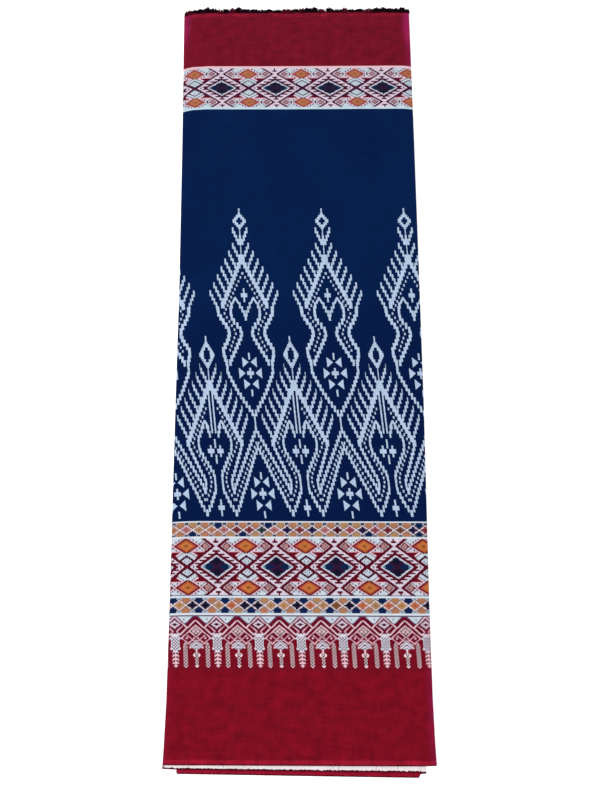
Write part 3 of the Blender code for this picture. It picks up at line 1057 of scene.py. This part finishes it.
def pendants(cloth):
    """White hanging ornaments on red: large ones, small ones, and dotted columns between."""
    paint = Paint(cloth.tree, (122, 12, 33))
    t = cloth.t.stepped(PENDANT_ROW)
    half = PENDANT_GAP / 2
    axis = (t - PENDANT_AXIS[1]) * -PENDANT_LEAN + PENDANT_AXIS[0]
    far = (cloth.x - axis).swing(half)
    big = (far + PENDANT_STITCH / 2).math("SNAP", PENDANT_STITCH)
    small = half - big
    falling = t + big * PENDANT_SLOPE
    rising = t - big * PENDANT_SLOPE
    roof = t + small * PENDANT_SLOPE
    bowl = t - small * PENDANT_SLOPE
    line, dim, lace = (238, 202, 214), (226, 180, 196), (228, 222, 236)
    knot, stud = (120, 60, 80), (64, 0, 20)
    rows = (cloth.t - 118.6).swing(STUD)

    def studs(across, share):
        """Small studs in staggered rows, the smaller the larger the share."""
        return over(abs(across.swing(STUD) + rows - STUD), STUD * share)

    # Darker ground and pale triangles at the top between the ornaments
    paint(over(t, 150.0, 12.0), (106, 12, 40))
    paint(over(falling, 180.2) & over(roof, 180.6), (96, 66, 96))
    paint(over(falling, 181.6) & over(roof, 182.2), ICE)
    paint(near(big, 12.0, 1.0) & near(t, 176.0, 1.1), (70, 76, 104))

    # Large ornament: lozenge with two wings and a core
    off_core = abs(t - 169.2)
    paint(near(falling, 176.4, 0.8) & over(rising, 153.0) & over(t, 170.5), (104, 66, 92))
    paint(under(big * 0.80 + off_core, 6.6), (92, 62, 90))
    paint(under(big * 0.80 + off_core, 5.2), (226, 206, 220))
    paint(under(big * 0.5 + off_core, 1.9), (70, 14, 42))
    wing_side = within(falling, 161.5, 177.0) & near(rising, 158.6, 0.9)
    wing_foot = within(rising, 151.6, 158.6) & near(falling, 162.0, 0.9)
    paint(wing_side | wing_foot, dim)
    paint(near(falling, 178.7, 1.0) & over(rising, 150.4), line)

    # Small ornament: nested chevrons, a diamond with a cross, a bowl and a cluster below
    off_eye = abs(t - 160.6)
    eye = small * 0.88 + off_eye
    paint(near(roof, 174.2, 1.0) & over(t, 155.8), line)
    paint(near(roof, 168.2, 0.95) & over(t, 151.0), dim)
    paint(under(eye, 7.8), (224, 188, 200))
    paint(under(eye, 6.2), (78, 32, 46))
    paint(under(eye, 4.3), (224, 196, 206))
    paint(under(eye, 4.3) & near(small - off_eye, 0.0, 0.6), knot)
    paint(near(bowl, 146.4, 0.9) & within(t, 148.6, 156.2), dim)
    hook = abs(small - 10.0) * PENDANT_SLOPE + abs(t - 152.6)
    paint(near(hook, 7.2, 0.9) & under(t, 153.0), dim)
    paint(near(small, 11.4, 1.2) & near(t, 152.6, 1.2), dim)
    cluster = under(roof, 150.4) & under(small, 8.6) & over(t - small * 0.55, 137.0)
    paint(cluster, lace)
    paint(cluster & under((roof - 148.3).swing(1.9), 0.75), (96, 82, 108))
    paint(near(small, 7.6, 1.2) & near(t, 140.6, 1.2), line)
    paint(under(small, 1.0) & within(t, 133.5, 138.0), line)

    # The small ornament's hanging chain
    drop = under(small * 0.74 + abs(t - 131.4), 4.0)
    chain = under(small, 2.5) & within(t, 118.6, 131.0)
    paint(drop | chain | under(small * 0.9 + abs(t - 117.8), 1.9), (255, 226, 234))
    side = half - far
    paint(studs(side, 0.22) & under(side, 2.2) & within(t, 118.6, 133.6), stud)

    # The large ornament's body, and the fir that hangs from it
    body = under(big, 5.2) & within(t, 137.4, 153.5)
    shoulders = near(falling, 157.6, 0.9) & over(t, 151.5)
    flange = under(big, 6.3) & near(t, 139.4, 1.2)
    point = under(big * 0.6 + (157.6 - t), 5.0) & under(t, 157.6)
    taper = under(big, 3.2) & within(t, 135.0, 138.0)
    paint(united((body, shoulders, flange, point, taper)), lace)
    paint(studs(far, 0.36) & under(far, 4.8) & within(t, 137.0, 154.0), (60, 40, 70))
    rib = (t + big * 0.5 - 122.9).swing(2.326)
    fir_t = within(t, 120.6, 135.4)
    paint((under(rib, 1.1) & under(big, 4.2) | under(big, 0.5)) & fir_t, line)
    paint(near(rib, 1.3, 0.3) & near(big, 1.2, 0.3) & fir_t, knot)
    paint(under(big * 0.8 + abs(t - 118.6), 2.4), line)

    # The dotted columns half way between the ornaments
    column = abs(far - PENDANT_GAP * 0.236)
    strand = under(column, 2.5) & within(t, 118.6, 144.6)
    ends = under(column * 0.8 + abs(t - 118.2), 2.1) | under(column * 0.8 + abs(t - 145.0), 1.8)
    paint(strand | ends, (255, 222, 232))
    paint(studs(column, 0.22) & under(column, 2.3) & within(t, 117.4, 145.6), stud)

    paint(over(t, 179.4, 0.5), (110, 90, 116))
    return paint


def wrong_side(cloth):
    """Pale back of the print, on which the bands show through faintly, with painted light and a
    partly painted shadow line at the hem.
    """
    t = cloth.t
    paint = Paint(cloth.tree, (236, 224, 226))
    # Painted light: paler near the hem, to offset the shade that the layer above casts on this
    # strip
    paint(under(t, 14.0), (254, 242, 244))
    paint(within(t, 24.0, 112.0, 10.0) * 0.75, (190, 110, 124))
    paint(over(t, 961.0, 4.0) * 0.75, (186, 112, 122))
    paint(within(t, 300.0, 892.0, 4.0) * 0.8, (108, 126, 158))
    streak = over(cloth.noise(1.4, 60.0, 1.0, 21.0), 0.66, 0.06) & under(t, 12.0)
    paint(streak * 0.7, (120, 60, 66))
    # Dark hem edge of the cloth together with painted shadow where it meets the layer below
    paint(under(ragged_t(cloth, 3.0), 1.9), (80, 2, 26))
    return paint


def new_material(name, settings):
    """A material with its node tree and shader, and values set on the shader's own sockets."""
    material = bpy.data.materials.new(name)
    material.use_nodes = True
    tree = material.node_tree
    shader = tree.nodes["Principled BSDF"]
    for socket, value in settings.items():
        shader.inputs[socket].default_value = value
    return material, tree, shader


def cloth_material(name, draw, mottle, sheen_strength):
    """Cotton with a print, uneven threads, painted sheen along its folds, weave and sheen.

    mottle is how uneven its colour is, and the last argument how strongly a lighter sheen is
    painted along its folds.
    """
    material, tree, shader = new_material(
        name, {"Specular IOR Level": 0.04, "Sheen Weight": 0.02, "Sheen Roughness": 0.5})
    cloth = Cloth(tree)
    paint = draw(cloth)

    blotches = cloth.noise(16, 13, 3.0, 1.0) - 0.5
    weft = cloth.noise(22, 1.3, 2.0, 2.0) - 0.5
    warp = cloth.noise(1.3, 26, 2.0, 3.0) - 0.5
    paint.scale((blotches * 0.26 + weft * 0.16 + warp * 0.16) * mottle + 1.0)
    # Painted sheen: a lighter magenta band along the folds, where the curved cloth would catch the
    # light, wider and stronger near the waist and on the right half.
    if sheen_strength:
        high = over(cloth.t, 1005.0, 40.0)
        where = over(cloth.x, 0.0) * 0.5 + high * 0.7 + 0.12
        reach = high * 4.0 + 5.0
        painted_sheen = under(cloth.fold - reach, 0.0, 10.0) * where * (cloth.noise(20, 30, 1.0, 6.0) + 0.4)
        paint(painted_sheen * sheen_strength, (165, 32, 92))
    feed(tree, shader.inputs["Base Color"], paint.colour)
    feed(tree, shader.inputs["Roughness"], cloth.noise(3, 3, 2.0, 8.0) * 0.14 + 0.8)

    thread = 0.42
    threads = (cloth.x.swing(thread) | cloth.t.swing(thread)) + (weft + warp) * 0.64
    bump = given(tree, "Bump",
                 (("Strength", 0.35), ("Distance", 0.12 * MM), ("Height", threads)))
    feed(tree, shader.inputs["Normal"], bump)
    return material


def yarn_material():
    """Black cotton ends with a few dark red ones among them."""
    material, tree, shader = new_material(
        "dark_yarn_ends", {"Roughness": 0.9, "Specular IOR Level": 0.02})
    paint = Paint(tree, (20, 4, 12))
    paint(over(attribute(tree, "tone"), 0.9, 0.05), (74, 12, 30))
    feed(tree, shader.inputs["Base Color"], paint.colour)
    return material


def floor_material():
    """Nearly white, and glowing slightly, so that shadows on it are faint."""
    material, tree, shader = new_material(
        "pale_floor", {"Roughness": 0.9, "Specular IOR Level": 0.1,
                       "Emission Color": (1.0, 1.0, 1.0, 1.0), "Emission Strength": 0.5})
    grain = given(tree, "TexNoise", [("Scale", 40.0)])
    feed(tree, shader.inputs["Base Color"], grain * 0.03 + 0.93)
    return material


def add_object(name, data):
    """Puts a mesh, camera or lamp into the scene as an object."""
    item = bpy.data.objects.new(name, data)
    bpy.context.scene.collection.objects.link(item)
    return item


def into_frame(mesh, move_x, move_y):
    """Moves a mesh from the picture's middle line and hem to where the solid is."""
    for point in mesh.vertices:
        point.co.x += move_x
        point.co.y += move_y


def dress():
    """Makes the sheet and the yarn ends in place of their solids."""
    cloth_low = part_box("cloth")[0]
    move_x = cloth_low.x - min(row[1] for row in OUTLINE)
    move_y = cloth_low.y - min(place[1] for hem in HEMS for place in hem)

    mesh = sheet_mesh("printed_cloth")
    for row in (
            # name, draw, mottle, strength of the painted sheen on the folds
            ("hem_red", plain_red, 3.8, 0.7),
            ("pendant_band", pendants, 1.4, 0.4),
            ("lower_borders", lower_borders, 1.0, 0.0),
            ("tied_navy", tied_navy, 1.2, 0.0),
            ("upper_band", upper_band, 1.0, 0.0),
            ("waist_red", plain_red, 3.8, 0.85),
            ("wrong_side", wrong_side, 1.0, 0.0)):
        mesh.materials.append(cloth_material(*row))
    into_frame(mesh, move_x, move_y)
    sheet = add_object("printed_cloth", mesh)

    mesh = yarn_mesh("frayed_waist")
    mesh.materials.append(yarn_material())
    into_frame(mesh, move_x, move_y)
    yarns = add_object("frayed_waist", mesh)

    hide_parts("cloth")
    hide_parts("selvedge_fringe")
    for piece in (sheet, yarns):
        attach(piece, "root")
    return move_x, move_y


# Camera, from the shape of the panel in the photograph, which is 600 by 800 pixels
PHOTO_HEIGHT = 800
FOCAL_PIXELS = 850
SENSOR = 36.0
VANISHING_PIXELS = 4146             # the panel's sides meet this far above the middle
TILT = atan(FOCAL_PIXELS / VANISHING_PIXELS)
DISTANCE = 1.14467
AIM = (0.0, 461.7 * MM, 10.5 * MM)  # from the middle line, the hem and the floor


def add_camera(move_x, move_y):
    """Looks down at the panel, a little slanted, from the side of its hem."""
    data = bpy.data.cameras.new("camera")
    data.lens = SENSOR * FOCAL_PIXELS / PHOTO_HEIGHT
    data.sensor_width = SENSOR
    camera = add_object("camera", data)
    camera.location = (AIM[0] + move_x, AIM[1] + move_y - DISTANCE * sin(TILT),
                       AIM[2] + DISTANCE * cos(TILT))
    camera.rotation_euler = (TILT, 0.0, 0.0)
    bpy.context.scene.camera = camera


def add_stage():
    """A pale floor under soft light from all round and a broad lamp above the left side."""
    size = 6.0
    mesh = bpy.data.meshes.new("floor")
    corners = [(-size, -size, 0), (size, -size, 0), (size, size, 0), (-size, size, 0)]
    mesh.from_pydata(corners, [], [(0, 1, 2, 3)])
    mesh.materials.append(floor_material())
    add_object("floor", mesh)

    world = bpy.data.worlds.new("soft_light")
    world.use_nodes = True
    background = world.node_tree.nodes["Background"]
    background.inputs["Color"].default_value = (1.0, 1.0, 1.0, 1.0)
    background.inputs["Strength"].default_value = 0.82
    bpy.context.scene.world = world

    lamp = bpy.data.lights.new("broad_lamp", "AREA")
    lamp.shape = "SQUARE"
    lamp.size = 1.8
    lamp.energy = 36.0
    light = add_object("broad_lamp", lamp)
    light.location = (-1.3, 0.25, 2.4)
    light.rotation_euler = (radians(-6), radians(-28.4), 0.0)
    bpy.context.scene.view_settings.view_transform = "Standard"


add_camera(*dress())
add_stage()
